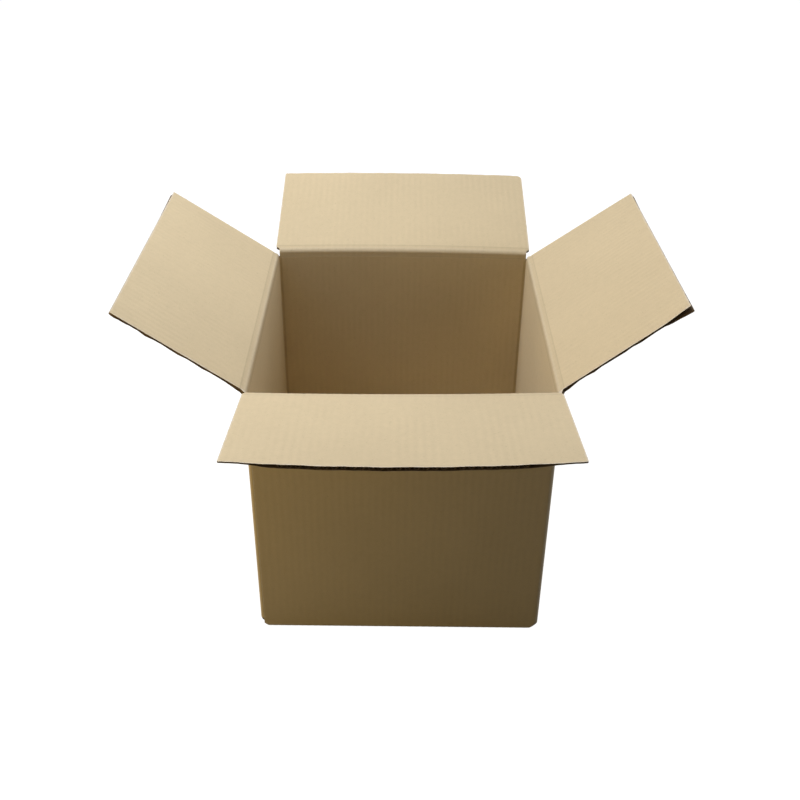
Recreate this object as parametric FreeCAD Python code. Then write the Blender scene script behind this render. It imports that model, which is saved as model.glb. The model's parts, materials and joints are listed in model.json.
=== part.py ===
import FreeCAD, Part
import math
import os

# An open carton of corrugated board, standing on its taped bottom with its four top flaps folded
# outwards. X runs to the right, Y to the back and Z up, in millimetres. The origin is the middle
# of the underside.

Vector = FreeCAD.Vector
UP = Vector(0, 0, 1)

# Board and walls
board = 4.0                  # thickness of the single-wall board
inside_length = 304.0        # between the left and right walls
inside_width = 304.0         # between the front and back walls
fold_height = 318.0          # from the floor to the top creases of the front and back walls
bend_inner_radius = 0.5      # inside of every right-angled fold
soft_corner = 16.0           # how far the crushed bottom corners reach along their three edges

# Flaps
flap_length = 145.0          # from crease to free edge, the same at top and bottom
long_flap_inset = 1.0        # each end of a front or back top flap to the side wall's outer face
side_flap_clearance = 2.0    # each end of a side flap to the wall beside it, when closed
corner_radius = 1.5          # free corners of the top flaps
worn_corner_radius = 7.0     # the back flap's rounded right corner
hinge_offset = 0.2           # from a wall's outer face out to the line its top flap turns about
mitre_clearance = 0.2        # between a wall's mitred top and its closed flap
layer_clearance = 0.5        # between closed flaps that lie on each other
notch_depth = 2.5            # how far the slots between top flaps run down past the side creases

# How far each top flap leans outwards from upright, in degrees
front_lean = 80.0
back_lean = 72.5
left_lean = 55.5
right_lean = 52.0

# Glued lap joint in the front left corner
tab_width = 36.0
tab_slope = 15.0             # degrees that the tab's ends slope in
tab_clearance = 1.0          # from the tab's ends to the closed side flaps, top and bottom

# Tape along the seam of the bottom flaps
tape_width = 48.0
tape_thickness = 0.3
tape_rise = 55.0             # how far its ends run up the side walls

bend_radius = bend_inner_radius + board
half_length = inside_length / 2 + board
half_width = inside_width / 2 + board
side_fold_height = fold_height - board - layer_clearance
inner_layer = board + layer_clearance
overrun = 5.0                # how far a cutting block stands past what it cuts


class Wall:
    """One wall and its two flaps: which way it faces, and where its creases run."""

    def __init__(self, turn, distance, top, bottom, top_half, bottom_half, lean, radii):
        rotation = FreeCAD.Rotation(UP, turn)
        self.turn = turn                        # degrees about Z from the back wall
        self.distance = distance                # from the middle of the box to the outer face
        self.top = top                          # height of the top crease
        self.bottom = bottom                    # height of the bottom flap's underside
        self.top_half = top_half                # half the width of the top flap
        self.bottom_half = bottom_half          # half the width of the bottom flap
        self.lean = lean
        self.radii = radii                      # free corners, at the ends -sideways and +sideways
        self.outward = rotation.multVec(Vector(0, 1, 0))
        self.sideways = rotation.multVec(Vector(1, 0, 0))

    def at(self, sideways, outward, height):
        """A point by its place along the wall, out from its outer face, and up."""
        return self.sideways * sideways + self.outward * (self.distance + outward) + UP * height


plain = (corner_radius, corner_radius)
worn = (corner_radius, worn_corner_radius)
long_top = half_length - long_flap_inset
long_bottom = half_length - bend_radius
side_half = inside_width / 2 - side_flap_clearance
walls = {
    "back": Wall(0, half_width, fold_height, 0, long_top, long_bottom, back_lean, worn),
    "left": Wall(90, half_length, side_fold_height, inner_layer, side_half, side_half, left_lean, plain),
    "front": Wall(180, half_width, fold_height, 0, long_top, long_bottom, front_lean, plain),
    "right": Wall(270, half_length, side_fold_height, inner_layer, side_half, side_half, right_lean, plain),
}


def block(first, second):
    """A block between two opposite corners, in any order."""
    low = Vector(*[min(pair) for pair in zip(first, second)])
    high = Vector(*[max(pair) for pair in zip(first, second)])
    size = high - low
    return Part.makeBox(size.x, size.y, size.z, low)


def prism(points, run):
    """A straight prism on a closed outline of points."""
    return Part.Face(Part.makePolygon(points + points[:1])).extrude(run)


def upright_block(length, width, low, high, radius):
    """A block about the Z axis with rounded upright edges."""
    solid = block((-length / 2, -width / 2, low), (length / 2, width / 2, high))
    uprights = [edge for edge in solid.Edges if abs(edge.tangentAt(0).z) > 0.5]
    return solid.makeFillet(radius, uprights)


def bent_strip(corner, outward, along, run, reach, thickness, inner_radius):
    """A strip that leaves a panel by a right-angled bend and runs inwards for reach from corner.

    The panel lies in the direction along, seen from the bend, and outward is its outer side. The
    outer faces of panel and strip would meet at corner, and run is the strip's width as a vector.
    """
    outer_radius = inner_radius + thickness

    def at(out, up):
        return corner + outward * out + along * up

    def bend(radius, first, last):
        places = []
        for degrees in (first, (first + last) / 2, last):
            angle = math.radians(degrees)
            out = radius * math.cos(angle) - outer_radius
            up = outer_radius - radius * math.sin(angle)
            places.append(at(out, up))
        return Part.Arc(*places).toShape()

    edges = [
        bend(outer_radius, 0, 90),
        Part.makeLine(at(-outer_radius, 0), at(-reach, 0)),
        Part.makeLine(at(-reach, 0), at(-reach, thickness)),
        Part.makeLine(at(-reach, thickness), at(-outer_radius, thickness)),
        bend(inner_radius, 90, 0),
        Part.makeLine(at(-thickness, outer_radius), at(0, outer_radius)),
    ]
    return Part.Face(Part.Wire(edges)).extrude(run)


def wall_loop():
    """The four walls as one strip round the box, open at the lap joint in the front left corner."""
    outer = upright_block(2 * half_length, 2 * half_width, bend_radius, fold_height, bend_radius)
    inner = upright_block(inside_length, inside_width, 0, fold_height + overrun, bend_inner_radius)
    joint = block((-half_length - overrun, -half_width - overrun, -overrun),
                  (-half_length + bend_radius, -inside_width / 2 + bend_radius, fold_height + overrun))
    return outer.cut(inner).cut(joint)


def side_trims():
    """What stands above and below the side walls, whose creases lie inside the long flaps'."""
    trims = []
    for side in (-1, 1):
        inside = side * inside_length / 2
        outside = side * (half_length + overrun)
        reach = half_width - bend_radius
        trims.append(block((inside, -half_width - overrun, side_fold_height),
                           (outside, half_width + overrun, fold_height + overrun)))
        trims.append(block((inside, -reach, -overrun), (outside, reach, inner_layer + bend_radius)))
    return trims


def mitre(wall):
    """The inner top edge of a wall, cut at 45 degrees so that its flap can close over it."""
    half = wall.bottom_half + bend_radius if wall.bottom == 0 else inside_width / 2
    depth = board + overrun
    profile = ((0, 0), (-depth, -depth), (-depth, overrun), (0, overrun))
    points = [wall.at(-half, out, wall.top + rise) for out, rise in profile]
    return prism(points, wall.sideways * (2 * half))


def slot_ends():
    """The ends of the slots between the top flaps, which reach down past the side creases."""
    cuts = []
    for wall in walls.values():
        end = half_length + half_width - wall.distance
        for side in (-1, 1):
            start = wall.at(side * (end - bend_radius), -bend_radius, side_fold_height - notch_depth)
            cuts.append(block(start, wall.at(side * (end + overrun), overrun, fold_height + overrun)))
    return cuts


def soft_corners():
    """What stands out of a ball at each of the crushed bottom corners."""
    cuts = []
    for side in (-1, 1):
        for end in (-1, 1):
            centre = Vector(side * (half_length - soft_corner), end * (half_width - soft_corner), soft_corner)
            outwards = Vector(side, end, -1) * (soft_corner + overrun)
            ball = Part.makeSphere(soft_corner * math.sqrt(2), centre)
            cuts.append(block(centre, centre + outwards).cut(ball))
    return cuts


def glue_tab():
    """The left panel's tab, bent round the corner and glued inside the front panel."""
    low = inner_layer + board + tab_clearance
    high = side_fold_height - hinge_offset - board - tab_clearance
    corner = Vector(-half_length, -inside_width / 2, low)
    reach = bend_radius + tab_width
    run = UP * (high - low)
    tab = bent_strip(corner, Vector(-1, 0, 0), Vector(0, 1, 0), run, reach, board, bend_inner_radius)
    slope = (tab_width + overrun) * math.tan(math.radians(tab_slope))
    root = -half_length + bend_radius
    end = root + tab_width + overrun
    for level, lift in ((low, slope), (high, -slope)):
        points = [Vector(x, -half_width, z) for x, z in ((root, level), (end, level + lift), (end, level))]
        tab = tab.cut(prism(points, Vector(0, 3 * board, 0)))
    return tab


def bottom_flap(wall):
    corner = wall.at(-wall.bottom_half, 0, wall.bottom)
    run = wall.sideways * (2 * wall.bottom_half)
    return bent_strip(corner, wall.outward, UP, run, flap_length, board, bend_inner_radius)


def carton():
    """Walls, glue tab and bottom flaps: one scored and folded sheet."""
    solid = wall_loop()
    for trim in side_trims() + slot_ends() + [mitre(wall) for wall in walls.values()]:
        solid = solid.cut(trim)
    folded = [bottom_flap(wall) for wall in walls.values()] + [glue_tab()]
    solid = solid.fuse(folded).removeSplitter()
    for trim in soft_corners():
        solid = solid.cut(trim)
    tape_bed = block((-half_length, -tape_width / 2, -overrun), (half_length, tape_width / 2, tape_thickness))
    return solid.cut(tape_bed)


def top_flap(wall):
    """A top flap, mitred at its crease, leaning outwards about its hinge line."""
    root = mitre_clearance * math.sqrt(2) + 2 * hinge_offset
    profile = ((-hinge_offset, root), (-hinge_offset, flap_length),
               (-hinge_offset - board, flap_length), (-hinge_offset - board, root + board))
    points = [Vector(-wall.top_half, y, z) for y, z in profile]
    flap = prism(points, Vector(2 * wall.top_half, 0, 0))
    for side, radius in zip((-1, 1), wall.radii):
        corner = Vector(side * wall.top_half, -hinge_offset, flap_length)
        edges = [edge for edge in flap.Edges if (edge.Vertexes[0].Point - corner).Length < board * 1.01
                 and (edge.Vertexes[1].Point - corner).Length < board * 1.01]
        flap = flap.makeFillet(radius, edges)
    flap.rotate(Vector(0, 0, 0), Vector(1, 0, 0), -wall.lean)
    flap.rotate(Vector(0, 0, 0), UP, wall.turn)
    flap.translate(wall.at(0, hinge_offset, wall.top))
    return flap


def bottom_tape():
    """The tape under the bottom seam, turned up both side walls and pressed flush underneath."""
    half = half_length + tape_thickness
    run = Vector(0, tape_width, 0)
    ends = []
    for side in (-1, 1):
        corner = Vector(side * half, -tape_width / 2, 0)
        outward = Vector(side, 0, 0)
        ends.append(bent_strip(corner, outward, UP, run, half, tape_thickness, bend_radius))
        low = bend_radius + tape_thickness
        ends.append(block((side * half_length, -tape_width / 2, low), (side * half, tape_width / 2, tape_rise)))
    return ends[0].fuse(ends[1:]).removeSplitter()


def main():
    os.makedirs("parts", exist_ok=True)
    nodes = {"carton": carton(), "bottom_tape": bottom_tape()}
    for name, wall in walls.items():
        nodes[name + "_flap"] = top_flap(wall)
    for name, shape in nodes.items():
        shape.exportStep("parts/" + name + ".step")
        print(name, shape.ShapeType, len(shape.Solids), shape.isValid(), round(shape.Volume), shape.BoundBox)


main()
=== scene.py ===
import json
import math

import bmesh
import bpy
import numpy as np
from mathutils import Matrix, Vector


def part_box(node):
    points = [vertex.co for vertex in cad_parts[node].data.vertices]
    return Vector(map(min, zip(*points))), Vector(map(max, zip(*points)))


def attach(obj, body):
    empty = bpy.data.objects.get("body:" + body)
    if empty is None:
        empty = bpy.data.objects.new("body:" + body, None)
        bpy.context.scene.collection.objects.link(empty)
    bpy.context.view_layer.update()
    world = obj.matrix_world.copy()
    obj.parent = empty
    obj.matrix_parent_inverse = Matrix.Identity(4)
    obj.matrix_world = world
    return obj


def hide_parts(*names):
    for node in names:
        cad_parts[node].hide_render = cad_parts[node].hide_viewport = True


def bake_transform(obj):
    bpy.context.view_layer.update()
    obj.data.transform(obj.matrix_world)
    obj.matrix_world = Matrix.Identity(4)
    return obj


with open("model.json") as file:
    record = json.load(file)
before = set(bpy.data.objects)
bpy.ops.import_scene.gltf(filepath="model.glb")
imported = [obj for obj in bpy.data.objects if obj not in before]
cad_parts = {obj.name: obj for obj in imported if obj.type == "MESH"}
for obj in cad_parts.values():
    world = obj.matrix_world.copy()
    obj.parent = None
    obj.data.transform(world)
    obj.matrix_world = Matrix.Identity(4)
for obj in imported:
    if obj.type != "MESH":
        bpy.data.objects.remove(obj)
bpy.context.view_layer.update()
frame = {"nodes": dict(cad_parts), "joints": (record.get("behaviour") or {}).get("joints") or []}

# An open carton of corrugated kraft board. Everything is in metres, in the frame of the packed
# part. Board is laid out on its flat blank: u runs round the four walls, starting at the front
# wall's raw edge in the front left corner, v runs up the walls and out along the top flaps, and
# w is the depth from the outer face into the board.

# Board
board = 0.004                # thickness
liner = 0.0004               # each of its two facing papers
medium = 0.0003              # the fluted paper between them
flute_pitch = 0.0076
washboard = 0.00004          # how far the liners sink between two flutes
fluting_depth = 0.006        # how far the open flutes are modelled in from a raw edge
flute_setback = 0.0006       # from a raw edge to the ends of the fluted paper
closed_end = 0.001           # no flute starts closer than this to the end of a raw edge
column_spacing = flute_pitch / 6
row_spacing = 0.009
edge_zone = 0.03             # the rows of points lie closer this far in from a flap's free edge
crease_zone = 0.012          # and this far out from its crease
sharp_angle = math.radians(32)

# Folds
fold_radius = 0.0045         # outer face of the walls' upright and bottom folds
crease_radius = 0.0015       # outer face of a top crease, inside the bend
hinge_gap = 0.0002           # from a wall's outer face to the line its flap turns about
slot_level = 0.311           # where the slots between the top flaps end
soft_corner = 0.019          # the crushed bottom corners
flap_length = 0.145
inner_layer = 0.0045         # the side walls' bottom flaps lie on the long ones
bottom_clearance = 0.002     # from the ends of the side walls' bottom flaps to the long walls
score_width = 0.0055         # half the width of the band that each crease presses into the board
score_depth = 0.0003
score_slope = 0.0015         # over which the board rises again beside the band

# Lap joint
tab_width = 0.036
tab_low = 0.0095
tab_high = 0.3083
tab_slope = math.tan(math.radians(15))

# Tape
tape_half = 0.024
tape_thickness = 0.0003

carton_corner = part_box("carton")[1]
half_length = carton_corner.x
half_width = carton_corner.y
fold_height = carton_corner.z
straight_x = half_length - fold_radius
straight_y = half_width - fold_radius
joint_y = straight_y - board          # where the left wall ends and bends into the tab
corner_run = fold_radius * math.pi / 2

# How the used box has settled, at the wall tops
front_spread = 0.003         # the front wall's left end leans forwards
front_bow = 0.0018           # and its middle bulges
front_drop = 0.0022          # its left end stands lower, at the lap joint
front_sag = 0.4              # and its middle by this share of that
back_spread = 0.0015
back_bow = 0.0018
back_rise = 0.0015

# Where the right flap's two liners have come apart, at its worn corner
split_reach = 0.034          # how far in from the corner
split_lip = 0.0022           # how far the inner liner curls up
split_droop = 0.0013         # how far the outer one hangs
split_bare = 0.02            # how much more of the free edge shows no flutes there

# How far the thinner, crushed edges of the flaps reach in
pinch_reach = 0.008          # from the side edges
crush_reach = 0.05           # along the free edge from its ends
crush_blend = 0.03           # of which this much blends into the full thickness
crush_depth = 0.02           # from the free edge
crush_bare = 0.045           # how much of each end of a crushed free edge shows no flutes
rim_free_offset = 0.05              # the side edges count as this much further off below the crease
edge_ripple = 0.0003         # how far the free edges wave up and down
widening = 0.004             # over which a flap takes up its width above the slots
torn_blend = (0.001, 0.006)  # over which a torn side edge meets the open free edge


def ramp(value, start, end):
    """0 before start, 1 after end, and smooth between them."""
    share = np.clip((value - start) / (end - start), 0, 1)
    return share * share * (3 - 2 * share)


def spaced(start, end, spacing):
    count = max(1, math.ceil(abs(end - start) / spacing - 1e-6))
    return np.linspace(start, end, count + 1)


def waver(along, seed, length=0.05, count=4):
    """A slow random line between about -1 and 1, the same on each run."""
    draw = np.random.default_rng(seed)
    total = np.zeros_like(along)
    for step in range(count):
        wave = length / (1 + 0.8 * step)
        total = total + np.sin(2 * math.pi * along / wave + draw.uniform(0, 2 * math.pi)) / (1 + step)
    return total / 2


def settled(point):
    """Leans and bows the wall tops by a few millimetres, and carries the flaps with them."""
    x = np.clip(point[..., 0] / half_length, -1, 1)
    y = np.clip(point[..., 1] / half_width, -1, 1)
    rise = np.clip(point[..., 2] / fold_height, 0, 1)
    front, back = (1 - y) / 2, (1 + y) / 2
    left, middle = (1 - x) / 2, 1 - x * x
    out = back * (back_spread + back_bow * middle) - front * (front_spread * left + front_bow * middle)
    up = back * back_rise * middle - front * front_drop * (left + front_sag * middle)
    return point + rise[..., None] * np.stack([0 * x, out, up], -1)


def sunk(u, w, fold):
    """The board's relief: liners sink between the flutes, and the scores are pressed in."""
    side = np.where(w > board / 2, -1, 1)
    hollow = washboard * (1 + side * np.cos(2 * math.pi * u / flute_pitch))
    pressed = score_depth * (1 - ramp(fold, score_width - score_slope, score_width)) * (side < 0)
    return side * (hollow + pressed)


def crushed(point, w):
    """Presses what stands out of the soft bottom corners onto a ball."""
    corner = np.array([half_length, half_width, 0])
    inwards = np.abs(point) * [-1, -1, 1] + corner * [1, 1, 0] - soft_corner
    reach = np.linalg.norm(inwards, axis=-1)
    limit = soft_corner * math.sqrt(2) - w
    inside = (inwards < 0).all(-1) & (reach > limit)
    scale = np.where(inside, limit / np.maximum(reach, 1e-9), 1)[..., None]
    back = (inwards * scale + soft_corner - corner * [1, 1, 0]) * [-1, -1, 1]
    side = np.where(point < 0, -1, 1) * [1, 1, 0] + [0, 0, 1]
    return np.where(inside[..., None], back * side, point)


class Board:
    """A sheet of board as a closed mesh: two liners, and between them a channel all round its edge.

    columns and rows are shares from 0 to 1 across the sheet, outline turns them into u and v on
    the blank, and place turns u, v and w into a point. open_depth is how deep the channel is.
    """

    channel = (0, 0.08, 0.25, 0.45, 0.7, 1)      # steps inwards along the channel's floor and roof

    def __init__(self, name, columns, rows, outline, place, open_depth):
        self.name = name
        self.outline = outline
        self.place = place
        self.points = []
        self.blank = []
        self.faces = []
        across, along = np.meshgrid(columns, rows, indexing="ij")
        outer = self.add_points(across, along, 0)
        inner = self.add_points(across, along, board)
        count, depth = across.shape
        rim = [(i, 0) for i in range(count)] + [(count - 1, j) for j in range(1, depth)]
        rim += [(i, depth - 1) for i in range(count - 2, -1, -1)] + [(0, j) for j in range(depth - 2, 0, -1)]
        rim_i, rim_j = np.array(rim).T
        self.add_quads(outer[:-1, :-1], outer[1:, :-1], outer[1:, 1:], outer[:-1, 1:])
        self.add_quads(inner[:-1, :-1], inner[:-1, 1:], inner[1:, 1:], inner[1:, :-1])
        p, q = across[rim_i, rim_j], along[rim_i, rim_j]
        deep = open_depth(*outline(p, q))
        wide = np.ptp(outline(columns, 0.5)[0])
        tall = np.ptp(outline(0.5, rows)[1])
        last = outer[rim_i, rim_j]
        for w, steps in ((liner, self.channel), (board - liner, self.channel[::-1])):
            for step in steps:
                share_p = step * deep / wide
                share_q = step * deep / tall
                ring = self.add_points(share_p + p * (1 - 2 * share_p), share_q + q * (1 - 2 * share_q), w)
                self.join_rings(last, ring)
                last = ring
        self.join_rings(last, inner[rim_i, rim_j])

    def add_points(self, p, q, w):
        """Adds points by their shares across the sheet and their depth, and returns their indices."""
        u, v = self.outline(p, q)
        start = sum(len(part) for part in self.points)
        self.points.append(self.place(u, v, np.full_like(u, w)).reshape(-1, 3))
        self.blank.append(np.stack([u, v, np.full_like(u, w)], -1).reshape(-1, 3))
        return np.arange(start, start + u.size).reshape(u.shape)

    def add_quads(self, *corners):
        self.faces.append(np.stack([corner.ravel() for corner in corners], -1))

    def join_rings(self, first, second):
        self.add_quads(first, second, np.roll(second, -1), np.roll(first, -1))

    def build(self, material, folds, edges):
        """The finished object, with its place on the blank and its distance from folds and edges."""
        blank = np.concatenate(self.blank)
        mesh = bpy.data.meshes.new(self.name)
        mesh.from_pydata(np.concatenate(self.points).tolist(), [], np.concatenate(self.faces).tolist())
        attribute = mesh.attributes.new("blank", "FLOAT_VECTOR", "POINT")
        attribute.data.foreach_set("vector", blank.astype(np.float32).ravel())
        u, v = blank[:, 0], blank[:, 1]
        for label, distance in (("fold", folds), ("edge", edges)):
            attribute = mesh.attributes.new(label, "FLOAT", "POINT")
            attribute.data.foreach_set("value", np.asarray(distance(u, v), np.float32))
        return finished(self.name, mesh, material)


def finished(name, mesh, material):
    """Outward normals, smooth faces between sharp edges, and the material."""
    shape = bmesh.new()
    shape.from_mesh(mesh)
    bmesh.ops.recalc_face_normals(shape, faces=shape.faces)
    shape.to_mesh(mesh)
    shape.free()
    mesh.shade_smooth()
    mesh.set_sharp_from_angle(angle=sharp_angle)
    mesh.materials.append(material)
    piece = bpy.data.objects.new(name, mesh)
    bpy.context.scene.collection.objects.link(piece)
    return piece


# Walls


def wall_line():
    """The walls' outer face seen from above: distance round, x, y and the outward direction."""
    quarter = math.pi / 2
    corners = [(straight_x, -straight_y, -quarter), (straight_x, straight_y, 0),
               (-straight_x, straight_y, quarter), (-straight_x, -joint_y, 2 * quarter)]
    stops = [np.array([[-straight_x, -half_width, -quarter]])]
    for x, y, start in corners:
        turn = np.linspace(start, start + quarter, 9)
        stops.append(np.stack([x + fold_radius * np.cos(turn), y + fold_radius * np.sin(turn), turn], -1))
    end = (-straight_x + tab_width, -joint_y - fold_radius, 3 * quarter)
    stops.append(np.array([end]))
    line = np.concatenate(stops)
    steps = np.hypot(*np.diff(line[:, :2], axis=0).T)
    return np.concatenate([[0], np.cumsum(steps)]), line


around, outer_line = wall_line()
wall_ends = {"front": (0, around[1]), "right": (around[9], around[10]),
             "back": (around[18], around[19]), "left": (around[27], around[28])}
tab_root = around[36]


class Crease:
    """A wall's top crease and its flap: where it runs and which way it faces."""

    def __init__(self, side, joint):
        self.hinge = np.array(joint["pos_m"])
        self.lean = math.radians(-joint["range_deg"][0] - 90)
        self.outward = np.array([self.hinge[0], self.hinge[1], 0]) / np.hypot(*self.hinge[:2])
        self.along = np.cross([0, 0, 1], self.outward)
        self.wall_u = wall_ends[side]
        corner_low, corner_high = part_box(side + "_flap")
        self.half = float(abs(np.array(corner_high - corner_low) @ self.along)) / 2
        middle = {"front": straight_x, "right": around[9] + straight_y,
                  "back": around[18] + straight_x, "left": around[27] + straight_y}
        self.middle = middle[side]
        self.reach = crease_radius * math.tan(self.lean / 2)

    def section(self, v, w):
        """Out from the hinge and up from it, of a point of the sheet seen along the crease."""
        turn = np.clip((v + self.reach) / (2 * self.reach), 0, 1) * self.lean
        below = np.minimum(v + self.reach, 0)
        beyond = np.maximum(v - self.reach, 0)
        radius = crease_radius + w
        out = crease_radius - hinge_gap - radius * np.cos(turn) + beyond * math.sin(self.lean)
        up = radius * np.sin(turn) - self.reach + beyond * math.cos(self.lean) + below
        return out, up

    def at(self, across, out, up):
        return (self.hinge + across[..., None] * self.along + out[..., None] * self.outward
                + up[..., None] * np.array([0, 0, 1]))


creases = {joint["child"][:-5]: Crease(joint["child"][:-5], joint) for joint in frame["joints"]}


def wall_folds(u, v):
    """Distance to the nearest fold: upright ones, top creases and the folds of the bottom flaps."""
    upright = np.min([np.abs(u - end - corner_run / 2) for start, end in wall_ends.values()], axis=0)
    top = np.min([np.where((u > crease.wall_u[0]) & (u < crease.wall_u[1]), np.abs(v - crease.hinge[2]), 1)
                  for crease in creases.values()], axis=0)
    return np.minimum(np.minimum(upright, top), np.abs(v - wall_bottom(u) + corner_run / 2))


def wall_point(u, v, w):
    x, y, turn = (np.interp(u, around, column) for column in outer_line.T)
    depth = w + sunk(u, w, wall_folds(u, v))
    point = np.stack([x - depth * np.cos(turn), y - depth * np.sin(turn), v + 0 * x], -1)
    return settled(crushed(point, w))


def wall_bottom(u):
    """Where the walls turn into the bottom flaps: the side walls stand on the long flaps."""
    level = np.full_like(u, fold_radius)
    for side in ("right", "left"):
        start, end = wall_ends[side]
        on_side = ramp(u, start - corner_run, start) * (1 - ramp(u, end, end + corner_run))
        level = level + inner_layer * on_side
    beyond = np.maximum(u - tab_root, 0) * tab_slope
    return level + (tab_low - fold_radius + beyond) * ramp(u, tab_root - corner_run, tab_root)


def wall_top(u):
    beyond = np.maximum(u - tab_root, 0) * tab_slope
    return slot_level - (slot_level - tab_high + beyond) * ramp(u, tab_root - corner_run, tab_root)


def wall_outline(p, q):
    u = p * around[-1]
    bottom, top = wall_bottom(u), wall_top(u)
    return u, bottom + q * (top - bottom)


def walls(material):
    stops = [spaced(start, end, column_spacing) for start, end in zip(around[:-1], around[1:])]
    beside_fold = [side * (score_width - step) for side in (-1, 1) for step in (0, score_slope)]
    score_sides = [[end + corner_run / 2 + off for off in beside_fold] for start, end in wall_ends.values()]
    columns = np.unique(np.concatenate(stops + score_sides)) / around[-1]
    rows = np.unique(np.concatenate([spaced(0, 0.06, 0.008), spaced(0.06, 0.97, 0.035),
                                     spaced(0.97, 1, 0.006)]))
    sheet = Board("wall_board", columns, rows, wall_outline, wall_point,
                  lambda u, v: np.full_like(u, fluting_depth))
    piece = sheet.build(material, wall_folds, lambda u, v: np.minimum(u, around[-1] - u))
    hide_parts("carton")
    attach(piece, "carton")


# Flaps


class Wear:
    """How a top flap departs from a flat, square one. Pairs are for its two free corners, low u first."""

    def __init__(self, lifts=(0, 0), stretch=(0, 0), trims=(0, 0), bow=0, radii=(0.0015, 0.0015),
                 split=0, torn=(0.003, 0.003), pinch=0.0012, crush=0, seed=1):
        self.lifts = lifts           # towards the inner face
        self.stretch = stretch       # how much longer than the flap's length
        self.trims = trims           # how much wider than half the flap's width
        self.bow = bow               # the free edge's middle, towards the inner face
        self.radii = radii           # of the corners
        self.split = split           # 1 where the liners have come apart at the first corner
        self.torn = torn             # how deep the side edges are open
        self.pinch = pinch           # how much thinner the crushed side edges are
        self.crush = crush           # how much thinner the free edge is near its ends
        self.seed = seed

    def bare_ends(self):
        """How much of the free edge shows no flutes, from each end."""
        ends = [crush_bare if self.crush else max(radius, pinch_reach) + closed_end for radius in self.radii]
        return ends[0] + self.split * split_bare, ends[1]


wear = {
    "front": Wear(bow=-0.0034, lifts=(0.0012, 0.0006), trims=(-0.0006, 0.0002), crush=0.0024, seed=3),
    "back": Wear(trims=(0.0006, 0.0008), radii=(0.007, 0.0015), seed=5),
    "left": Wear(lifts=(-0.001, 0.0033), stretch=(-0.0018, 0.0028), trims=(0, -0.0042),
                 torn=(0.003, 0.0016), pinch=0.002, seed=7),
    "right": Wear(lifts=(0.0046, -0.0034), stretch=(0.0036, -0.0016), trims=(-0.0042, -0.001), split=1,
                  pinch=0.002, seed=9),
}


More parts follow.
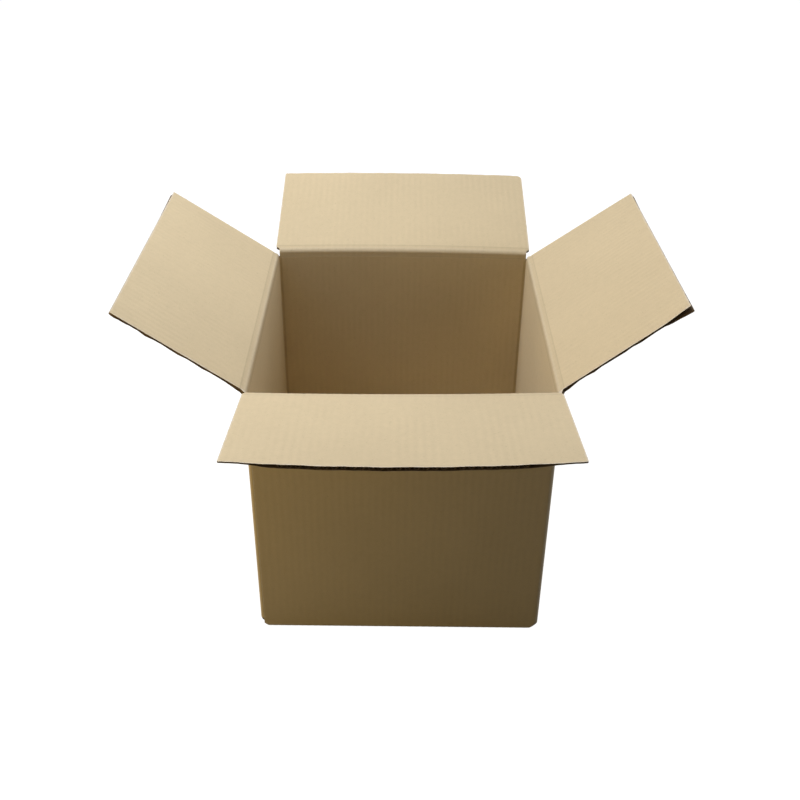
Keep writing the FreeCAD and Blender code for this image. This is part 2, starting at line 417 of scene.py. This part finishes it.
def flap(side, material):
    """A top flap with its crease and the strip of wall below it, down to the slots."""
    crease, used = creases[side], wear[side]
    level = crease.hinge[2]
    start = slot_level - level
    reach, length, half = crease.reach, flap_length, crease.half

    def outline(p, q):
        v = start + q * (length - start)
        widen = ramp(v, 0, widening)
        out = np.clip(v / length, 0, 1)
        ends = [(crease.wall_u[end] - crease.middle) * (1 - widen) + sign * (half + used.trims[end]) * widen
                for end, sign in ((0, -1), (1, 1))]
        u = ends[0] + p * (ends[1] - ends[0])
        for end, sign in ((0, -1), (1, 1)):
            radius = used.radii[end]
            edge = half + used.trims[end]
            x = sign * u - edge + radius
            y = v - length + radius
            corner = (x > 0) & (y > 0)
            scale = np.where(corner, np.maximum(x, y) / np.maximum(np.hypot(x, y), 1e-9), 1)
            u = np.where(corner, sign * (x * scale + edge - radius), u)
            v = np.where(corner, y * scale + length - radius, v)
        longer = used.stretch[0] * (1 - p) + used.stretch[1] * p
        return u + crease.middle, v + longer * out + level

    def from_side(across):
        """Distance in from the nearer side edge."""
        return half + np.where(across < 0, *used.trims) - np.abs(across)

    def free_edge(across):
        """How far the free edge lies from the crease."""
        share = across / half
        return length + (used.stretch[0] * (1 - share) + used.stretch[1] * (1 + share)) / 2

    def parted(u, v):
        """How far the two liners have come apart: 1 at the worn corner."""
        across = u - crease.middle
        gap = np.hypot(across + half + used.trims[0], v - level - free_edge(across))
        return used.split * (1 - ramp(gap, 0, split_reach))

    def place(u, v, w):
        across = u - crease.middle
        out_along = v - level
        share = across / half
        out = np.clip(out_along / length, 0, 1)
        corner_lift = used.lifts[0] * (1 - share) / 2 + used.lifts[1] * (1 + share) / 2
        lift = corner_lift * out + used.bow * (1 - share * share) * out * out
        ripple = edge_ripple * waver(across, used.seed) * ramp(out_along, length - edge_zone, length)
        curl = parted(u, v)
        sides = from_side(across)
        worn = np.clip(0.75 + 0.5 * waver(v, used.seed + 20, 0.03), 0.2, 1)
        side_pinch = used.pinch * worn * (1 - ramp(sides, 0, pinch_reach)) * ramp(out_along, 0.004, 0.02)
        near_end = 1 - ramp(sides, crush_reach - crush_blend, crush_reach)
        end_crush = used.crush * near_end * ramp(out_along, length - crush_depth, length - 0.002)
        thinner = np.maximum(side_pinch, end_crush)
        depth = w + sunk(u, w, folds(u, v)) + lift + ripple
        depth = depth + np.where(w > board / 2, split_lip * curl, thinner * (1 - curl) - split_droop * curl)
        return settled(crease.at(across, *crease.section(out_along, depth)))

    def folds(u, v):
        return np.abs(v - level)

    def edges(u, v):
        across = u - crease.middle
        beside = from_side(across) + np.where(v < level, rim_free_offset, 0)
        return np.minimum(free_edge(across) - (v - level), beside)

    def open_depth(u, v):
        """The flutes are open at the free edge, and a torn flute runs along each side edge."""
        across = u - crease.middle
        ragged = np.clip(0.55 + 0.6 * waver(v, used.seed, 0.035), 0.1, 1)
        side_depth = np.where(across > 0, used.torn[1], used.torn[0]) * ragged
        deep = side_depth + (fluting_depth - side_depth) * ramp(from_side(across), *torn_blend)
        return deep + (split_reach * 0.8 - deep) * parted(u, v)

    round_off = np.array([0, 0.3, 0.6, 1]) * max(used.radii)
    shares = round_off / (2 * half)
    columns = np.unique(np.concatenate([shares, 1 - shares, spaced(shares[-1], 1 - shares[-1],
                                                                   column_spacing / (2 * half))]))
    rows = np.concatenate([[start], spaced(start / 2, -reach, 0.002), spaced(-reach, reach, reach / 5),
                           spaced(reach, crease_zone, 0.0015),
                           spaced(crease_zone, length - edge_zone, row_spacing),
                           spaced(length - edge_zone, length - 0.002, 0.004), length - round_off])
    rows = (np.unique(np.round(rows, 7)) - start) / (length - start)
    sheet = Board(side + "_flap_board", columns, rows, outline, place, open_depth)
    piece = sheet.build(material, folds, edges)
    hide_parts(side + "_flap")
    side + "_flap"
    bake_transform(piece)
    return place


def bottom_flap(side, material):
    """A bottom flap with the fold that turns it in from its wall."""
    crease = creases[side]
    long = side in ("front", "back")
    level = fold_radius + (0 if long else inner_layer)
    half = straight_x if long else half_width - board - bottom_clearance
    distance = half_width if long else half_length
    reach = flap_length - fold_radius + corner_run

    def outline(p, q):
        down = q * reach
        narrow = ramp(down, 0, 0.006)
        ends = [(crease.wall_u[end] - crease.middle) * (1 - narrow) + sign * half * narrow
                for end, sign in ((0, -1), (1, 1))]
        return ends[0] + p * (ends[1] - ends[0]) + crease.middle, level - down

    def place(u, v, w):
        down = level - v
        turn = np.clip(down / corner_run, 0, 1) * math.pi / 2
        beyond = np.maximum(down - corner_run, 0)
        radius = fold_radius - w - sunk(u, w, folds(u, v))
        out = distance - fold_radius + radius * np.cos(turn) - beyond
        up = level - radius * np.sin(turn)
        if long:
            taped = (1 - ramp(np.abs(out), tape_half, tape_half + 0.0005)) * (beyond > 0)
            up = up + tape_thickness * taped * (w < board / 2)
        point = crease.at(u - crease.middle, out, up) - crease.hinge
        return settled(crushed(point, w))

    def folds(u, v):
        return np.abs(level - v - corner_run / 2)

    def edges(u, v):
        return np.minimum(reach - (level - v), half - np.abs(u - crease.middle))

    columns = spaced(0, 1, column_spacing / (2 * half))
    rows = np.unique(np.round(np.concatenate([
        np.linspace(0, corner_run, 9), spaced(corner_run, corner_run + 0.02, 0.004),
        spaced(corner_run + 0.02, reach, row_spacing)]), 7)) / reach
    sheet = Board(side + "_bottom_board", columns, rows, outline, place,
                  lambda u, v: np.full_like(u, fluting_depth))
    piece = sheet.build(material, folds, edges)
    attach(piece, "carton")
    return place, half, level - reach


# Nodes


class Value:
    """An output of a node. Arithmetic on it adds Math nodes to the same tree."""

    def __init__(self, tree, socket):
        self.tree = tree
        self.socket = socket

    def node(self, kind, settings, inputs, output=0):
        return add_node(self.tree, kind, settings, inputs, output)

    def maths(self, operation, *others):
        return self.node("ShaderNodeMath", {"operation": operation}, dict(enumerate((self, *others))))

    def __add__(self, other):
        return self.maths("ADD", other)

    def __sub__(self, other):
        return self.maths("SUBTRACT", other)

    def __rsub__(self, other):
        return self * -1 + other

    def __mul__(self, other):
        return self.maths("MULTIPLY", other)

    __radd__ = __add__
    __rmul__ = __mul__

    def ramp(self, start, end):
        """0 before start, 1 after end, and smooth between them."""
        return self.node("ShaderNodeMapRange", {"interpolation_type": "SMOOTHSTEP"},
                         {0: self, 1: start, 2: end, 3: 0.0, 4: 1.0})

    def fade(self, start, end):
        """1 before start, 0 after end, and smooth between them."""
        return 1 - self.ramp(start, end)

    def scaled(self, factors):
        """This vector times another, axis by axis."""
        return self.node("ShaderNodeVectorMath", {"operation": "MULTIPLY"}, {0: self, 1: factors})

    def noise(self, scale, detail=2.0, roughness=0.5):
        """Noise about zero over this vector, mostly between -0.25 and 0.25."""
        return self.node("ShaderNodeTexNoise", {}, {"Vector": self, "Scale": scale, "Detail": detail,
                                                    "Roughness": roughness}) - 0.5

    def mixed(self, other, factor):
        """This colour mixed with another."""
        return self.node("ShaderNodeMix", {"data_type": "RGBA"}, {0: factor, 6: self, 7: other}, 2)


def add_node(tree, kind, settings, inputs, output=0):
    """Adds a node of any type with its settings and the values or links of its sockets."""
    node = tree.nodes.new(kind)
    for name, value in settings.items():
        setattr(node, name, value)
    for name, value in inputs.items():
        if isinstance(value, Value):
            tree.links.new(value.socket, node.inputs[name])
        else:
            node.inputs[name].default_value = value
    return Value(tree, node.outputs[output])


# Materials


def material_tree(name, roughness, specular=0.5):
    """A new material with its Principled BSDF, and the tree that they are in."""
    material = bpy.data.materials.new(name)
    material.use_nodes = True
    shader = material.node_tree.nodes["Principled BSDF"]
    shader.inputs["Roughness"].default_value = roughness
    shader.inputs["Specular IOR Level"].default_value = specular
    return material, shader, material.node_tree


def stored(tree, name, output):
    return add_node(tree, "ShaderNodeAttribute", {"attribute_name": name}, {}, output)


kraft_colour = (0.60, 0.475, 0.275)
# the fluted paper: its own browner colour, darkened further as painted shade of the open flutes and channel
core_paper_and_shade_colour = (0.22, 0.15, 0.08, 1)
# the paler colour that edges and folds are mixed towards: partly rubbed and frayed paper, partly painted
# highlight
rub_and_highlight_colour = (0.74, 0.66, 0.52, 1)
tape_colour = (0.5, 0.36, 0.2)


def kraft_material():
    """Unbleached liner: cloudy, speckled with fibres and faintly lined along the flutes; pressed at its
    scores and frayed at its edges, with painted shade along the folds, painted highlight beside the folds
    and edges, and painted shade in the open channel.
    """
    material, shader, tree = material_tree("kraft", 0.88, 0.25)
    blank = stored(tree, "blank", "Vector")
    fold = stored(tree, "fold", "Fac")
    edge = stored(tree, "edge", "Fac")
    u = add_node(tree, "ShaderNodeSeparateXYZ", {}, {0: blank}, 0)
    depth = add_node(tree, "ShaderNodeSeparateXYZ", {}, {0: blank}, 2)
    inner = depth.ramp(board * 0.4, board * 0.6)
    core = depth.ramp(liner * 0.2, liner * 0.9) * depth.fade(board - liner * 0.9, board - liner * 0.2)

    sheet = blank.scaled((1.0, 1.0, 6.0))
    cloud = sheet.noise(11.0, 3.0)
    mottle = sheet.noise(130.0, 4.0, 0.6)
    fibre = blank.scaled((0.22, 1.0, 6.0)).noise(1500.0, 2.0, 0.6)
    grain = sheet.noise(900.0, 2.0, 0.6)
    speck = sheet.noise(520.0, 1.0).ramp(0.17, 0.24)
    # Faint lines along the flutes: partly glue lines, partly painted shade of the washboard's ripples
    glue_and_washboard_shade_lines = (u * (2 * math.pi / flute_pitch)).maths("COSINE") * sheet.noise(25.0, 1.0).ramp(-0.2, 0.25)
    tone = 1 + 0.12 * cloud + 0.10 * mottle + 0.12 * fibre + 0.08 * grain - 0.10 * speck + 0.018 * glue_and_washboard_shade_lines
    ragged = mottle * 0.004
    # Painted shade: the inner face darkens in a band along every fold and in a line at the band's edge,
    # partly pressed board and partly the shade of the inside corners and creases
    pressed_band_shade = (fold + ragged * 0.3).fade(score_width - 0.0012, score_width + 0.0012)
    score_line_shade = (fold - score_width).maths("ABSOLUTE").fade(0.0002, 0.0011)
    tone = tone * (1 - inner * (0.05 * pressed_band_shade + 0.10 * score_line_shade))
    colour = add_node(tree, "ShaderNodeVectorMath", {"operation": "SCALE"}, {0: kraft_colour, "Scale": tone})
    # Paler rim along the raw edges on both faces: partly frayed liner, partly painted highlight on the cut
    # edge
    fray_and_edge_highlight = (edge + ragged).fade(0.0003, 0.0016) * (1 - core)
    colour = colour.mixed(rub_and_highlight_colour, 0.5 * fray_and_edge_highlight)
    # Painted highlight along the folds, where the rounded crease catches the light, partly rubbed board as
    # well
    fold_rub_and_highlight = (fold + ragged).fade(0.0, 0.0022) * (0.35 + 0.9 * mottle)
    colour = colour.mixed(rub_and_highlight_colour, 0.35 * fold_rub_and_highlight)
    # The open channel between the liners takes the fluted paper's colour, which holds painted shade
    colour = colour.mixed(core_paper_and_shade_colour, core)
    height = 0.5 * fibre + 0.5 * grain + 0.6 * mottle + 2.0 * cloud
    normal = add_node(tree, "ShaderNodeBump", {}, {"Strength": 0.5, "Distance": 0.0003, "Height": height},
                      "Normal")
    tree.links.new(colour.socket, shader.inputs["Base Color"])
    tree.links.new(normal.socket, shader.inputs["Normal"])
    return material


def tape_material():
    """Thin tan film with a dull sheen and slight creases."""
    material, shader, tree = material_tree("film tape", 0.32)
    place = add_node(tree, "ShaderNodeTexCoord", {}, {}, "Object")
    haze = place.noise(40.0, 3.0)
    wrinkle = place.scaled((0.3, 1.0, 0.3)).noise(300.0, 2.0)
    colour = add_node(tree, "ShaderNodeVectorMath", {"operation": "SCALE"},
                      {0: tape_colour, "Scale": 1 + 0.15 * haze})
    normal = add_node(tree, "ShaderNodeBump", {}, {"Strength": 0.3, "Distance": 0.0002, "Height": wrinkle},
                      "Normal")
    tree.links.new(colour.socket, shader.inputs["Base Color"])
    tree.links.new(normal.socket, shader.inputs["Normal"])
    return material


def plain_material(name, colour, roughness):
    material, shader, tree = material_tree(name, roughness)
    shader.inputs["Base Color"].default_value = colour
    return material


def seen_directly(tree):
    """1 for rays from the camera and from glossy or clear surfaces."""
    rays = [add_node(tree, "ShaderNodeLightPath", {}, {}, name)
            for name in ("Is Camera Ray", "Is Glossy Ray", "Is Transmission Ray")]
    return rays[0].maths("MAXIMUM", rays[1]).maths("MAXIMUM", rays[2])


def floor_material(tone, white_level, shadow_share):
    """White to the camera, with a faint shadow, and a darker mat to the box that stands on it."""
    material, shader, tree = material_tree("studio floor", 1, 0)
    shader.inputs["Base Color"].default_value = (tone, tone, tone, 1)
    white = add_node(tree, "ShaderNodeEmission", {}, {"Color": (1, 1, 1, 1), "Strength": white_level})
    pale = add_node(tree, "ShaderNodeBsdfDiffuse", {}, {"Color": (0.9, 0.9, 0.9, 1)})
    visible = add_node(tree, "ShaderNodeMixShader", {}, {0: shadow_share, 1: white, 2: pale})
    mat = Value(tree, shader.outputs[0])
    surface = add_node(tree, "ShaderNodeMixShader", {}, {0: seen_directly(tree), 1: mat, 2: visible})
    tree.links.new(surface.socket, tree.nodes["Material Output"].inputs["Surface"])
    return material


# Fluted paper


def edge_frames(place, u, v, w, into):
    """Points on a sheet, with the directions that u and w run there."""
    point = place(u, v, w)
    step = 0.002
    along = place(u + step, v, w) - point
    inward = place(u, v + into * step, w) - point
    return point, along, np.cross(inward, along) * into


def points_object(name, point, directions):
    """Loose points with directions stored on them."""
    mesh = bpy.data.meshes.new(name)
    mesh.from_pydata(point.tolist(), [], [])
    for label, direction in directions.items():
        attribute = mesh.attributes.new(label, "FLOAT_VECTOR", "POINT")
        attribute.data.foreach_set("vector", direction.astype(np.float32).ravel())
    item = bpy.data.objects.new(name, mesh)
    bpy.context.scene.collection.objects.link(item)
    return item


def ribbon(name, line, thickness, width):
    """A closed strip along a line in X and Z, with its width along Y."""
    stops = np.array([(x, y, z + dz) for x, z in line for dz in (0, thickness) for y in (0, width)])
    faces = [(0, 1, 3, 2)]
    for step in range(len(line) - 1):
        here, there = 4 * step, 4 * step + 4
        for first, second in ((0, 1), (1, 3), (3, 2), (2, 0)):
            faces.append((here + first, there + first, there + second, here + second))
    last = 4 * len(line) - 4
    faces.append((last, last + 2, last + 3, last + 1))
    mesh = bpy.data.meshes.new(name)
    mesh.from_pydata(stops.tolist(), [], faces)
    shape = bmesh.new()
    shape.from_mesh(mesh)
    bmesh.ops.recalc_face_normals(shape, faces=shape.faces)
    shape.to_mesh(mesh)
    shape.free()
    return bpy.data.objects.new(name, mesh)


def repeat_tree(name):
    """Geometry Nodes that repeat a shape on points, turned along the directions stored on them."""
    tree = bpy.data.node_groups.new(name, "GeometryNodeTree")
    sockets = {"Geometry": "NodeSocketGeometry", "Shape": "NodeSocketObject",
               "Material": "NodeSocketMaterial"}
    for label, kind in sockets.items():
        tree.interface.new_socket(label, in_out="INPUT", socket_type=kind)
    tree.interface.new_socket("Geometry", in_out="OUTPUT", socket_type="NodeSocketGeometry")
    entry = tree.nodes.new("NodeGroupInput")
    given = {label: Value(tree, entry.outputs[label]) for label in sockets}
    along, up = [add_node(tree, "GeometryNodeInputNamedAttribute", {"data_type": "FLOAT_VECTOR"},
                          {"Name": label}) for label in ("along", "up")]
    turn = add_node(tree, "FunctionNodeAxesToRotation", {"primary_axis": "X", "secondary_axis": "Z"},
                    {0: along, 1: up})
    shape = add_node(tree, "GeometryNodeObjectInfo", {}, {"Object": given["Shape"]}, "Geometry")
    copies = add_node(tree, "GeometryNodeInstanceOnPoints", {},
                      {"Points": given["Geometry"], "Instance": shape, "Rotation": turn})
    real = add_node(tree, "GeometryNodeRealizeInstances", {}, {0: copies})
    coloured = add_node(tree, "GeometryNodeSetMaterial", {}, {0: real, "Material": given["Material"]})
    tree.links.new(coloured.socket, tree.nodes.new("NodeGroupOutput").inputs[0])
    return tree


def grown(name, base, tree, values):
    """The tree's result on the base points, as a plain mesh object in their place."""
    modifier = base.modifiers.new("repeat", "NODES")
    modifier.node_group = tree
    for item in tree.interface.items_tree:
        if item.in_out == "INPUT" and item.name in values:
            modifier[item.identifier] = values[item.name]
    evaluated = base.evaluated_get(bpy.context.evaluated_depsgraph_get())
    mesh = bpy.data.meshes.new_from_object(evaluated)
    base.modifiers.remove(modifier)
    bpy.data.objects.remove(base)
    piece = bpy.data.objects.new(name, mesh)
    bpy.context.scene.collection.objects.link(piece)
    return piece


def flute_points(place, middle, half, v_edge, into, margins):
    """Where whole flutes start along a sheet's free edge, in line with its washboard."""
    first = math.ceil((middle - half + margins[0]) / flute_pitch)
    last = math.floor((middle + half - margins[1]) / flute_pitch)
    u = np.arange(first, last) * flute_pitch
    return edge_frames(place, u, v_edge + into * flute_setback + 0 * u, board / 2 + 0 * u, into)


def fluting(name, body, frames, shape, tree, material):
    point, along, up = (np.concatenate(parts) for parts in zip(*frames))
    base = points_object(name + "_points", point, {"along": along, "up": up})
    piece = grown(name, base, tree, {"Shape": shape, "Material": material})
    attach(piece, body)


kraft = kraft_material()
tape = tape_material()
# the fluted paper's material, whose dark colour is partly painted shade of the open flutes
fluting_paper_and_shade = plain_material("fluting", core_paper_and_shade_colour, 0.9)

swing = (board - 2 * liner - medium) / 2
flute_line = [(x, swing * math.cos(2 * math.pi * x / flute_pitch) - medium / 2)
              for x in np.linspace(0, flute_pitch, 9)]
flute_shape = ribbon("flute", flute_line, medium, fluting_depth)
flute_tree = repeat_tree("flutes")

walls(kraft)
bottom_frames = []
for side, crease in creases.items():
    place = flap(side, kraft)
    free_v = crease.hinge[2] + flap_length
    frames = flute_points(place, crease.middle, crease.half, free_v, -1, wear[side].bare_ends())
    fluting(side + "_flap_fluting", side + "_flap", [frames], flute_shape, flute_tree, fluting_paper_and_shade)
    place, half, free_v = bottom_flap(side, kraft)
    bottom_frames.append(flute_points(place, crease.middle, half, free_v, 1, (closed_end, closed_end)))
fluting("bottom_fluting", "carton", bottom_frames, flute_shape, flute_tree, fluting_paper_and_shade)

frame["nodes"]["bottom_tape"].data.materials.clear()
frame["nodes"]["bottom_tape"].data.materials.append(tape)

# Camera, light and floor

camera_place = (-0.0052, -0.9697, 0.8628)
camera_yaw = 0.16            # degrees to the right
camera_pitch = 31.31         # degrees down
camera_roll = 0.73
focal_pixels = 1012          # the lens, in pixels of the picture
picture = 800                # width and height in pixels
axis_row = 350               # where the camera's axis meets the picture

camera = bpy.data.cameras.new("camera")
camera.sensor_width = 36
camera.lens = camera.sensor_width * focal_pixels / picture
camera.shift_y = axis_row / picture - 0.5
camera_object = bpy.data.objects.new("camera", camera)
camera_object.matrix_world = (Matrix.Translation(camera_place)
                              @ Matrix.Rotation(math.radians(-camera_yaw), 4, "Z")
                              @ Matrix.Rotation(math.radians(90 - camera_pitch), 4, "X")
                              @ Matrix.Rotation(math.radians(camera_roll), 4, "Z"))
bpy.context.scene.collection.objects.link(camera_object)
bpy.context.scene.camera = camera_object


def area_light(name, place, target, size, power, colour):
    """A square lamp with its size in metres and its power in watts."""
    data = bpy.data.lights.new(name, "AREA")
    data.size = size
    data.energy = power
    data.color = colour
    lamp = bpy.data.objects.new(name, data)
    lamp.location = place
    lamp.rotation_euler = (Vector(target) - Vector(place)).to_track_quat("-Z", "Y").to_euler()
    bpy.context.scene.collection.objects.link(lamp)


cool = (0.84, 0.875, 1)
warm = (1, 0.75, 0.32)
area_light("above left", (-0.9, 0.1, 1.4), (0, 0, 0.3), 0.6, 10, cool)
area_light("overhead", (-0.25, 0.15, 1.25), (0, 0, 0.3), 0.5, 7, cool)
area_light("back", (0.2, 1.8, 1.3), (0, 0, 0.3), 1.0, 12, cool)
area_light("right", (1.5, 0.1, 1.0), (0, 0, 0.3), 0.8, 10, cool)
area_light("low left", (-0.78, -0.52, 0.36), (-0.08, -0.15, 0.15), 0.5, 2.5, warm)
ambient = 0.04               # even light from all sides

world = bpy.data.worlds.new("studio")
bpy.context.scene.world = world
world.use_nodes = True
background = world.node_tree.nodes["Background"]
background.inputs["Color"].default_value = (1, 1, 1, 1)
strength = ambient + seen_directly(world.node_tree) * (1 - ambient)
world.node_tree.links.new(strength.socket, background.inputs["Strength"])

floor_mesh = bpy.data.meshes.new("floor")
floor_half = 6
floor_level = -0.0005        # just under the box
floor_corners = [(x * floor_half, y * floor_half, floor_level)
                 for x, y in ((-1, -1), (1, -1), (1, 1), (-1, 1))]
floor_mesh.from_pydata(floor_corners, [], [(0, 1, 2, 3)])
floor_mesh.materials.append(floor_material(tone=0.25, white_level=1.18, shadow_share=0.15))
floor = bpy.data.objects.new("floor", floor_mesh)
bpy.context.scene.collection.objects.link(floor)

bpy.context.scene.view_settings.view_transform = "Standard"
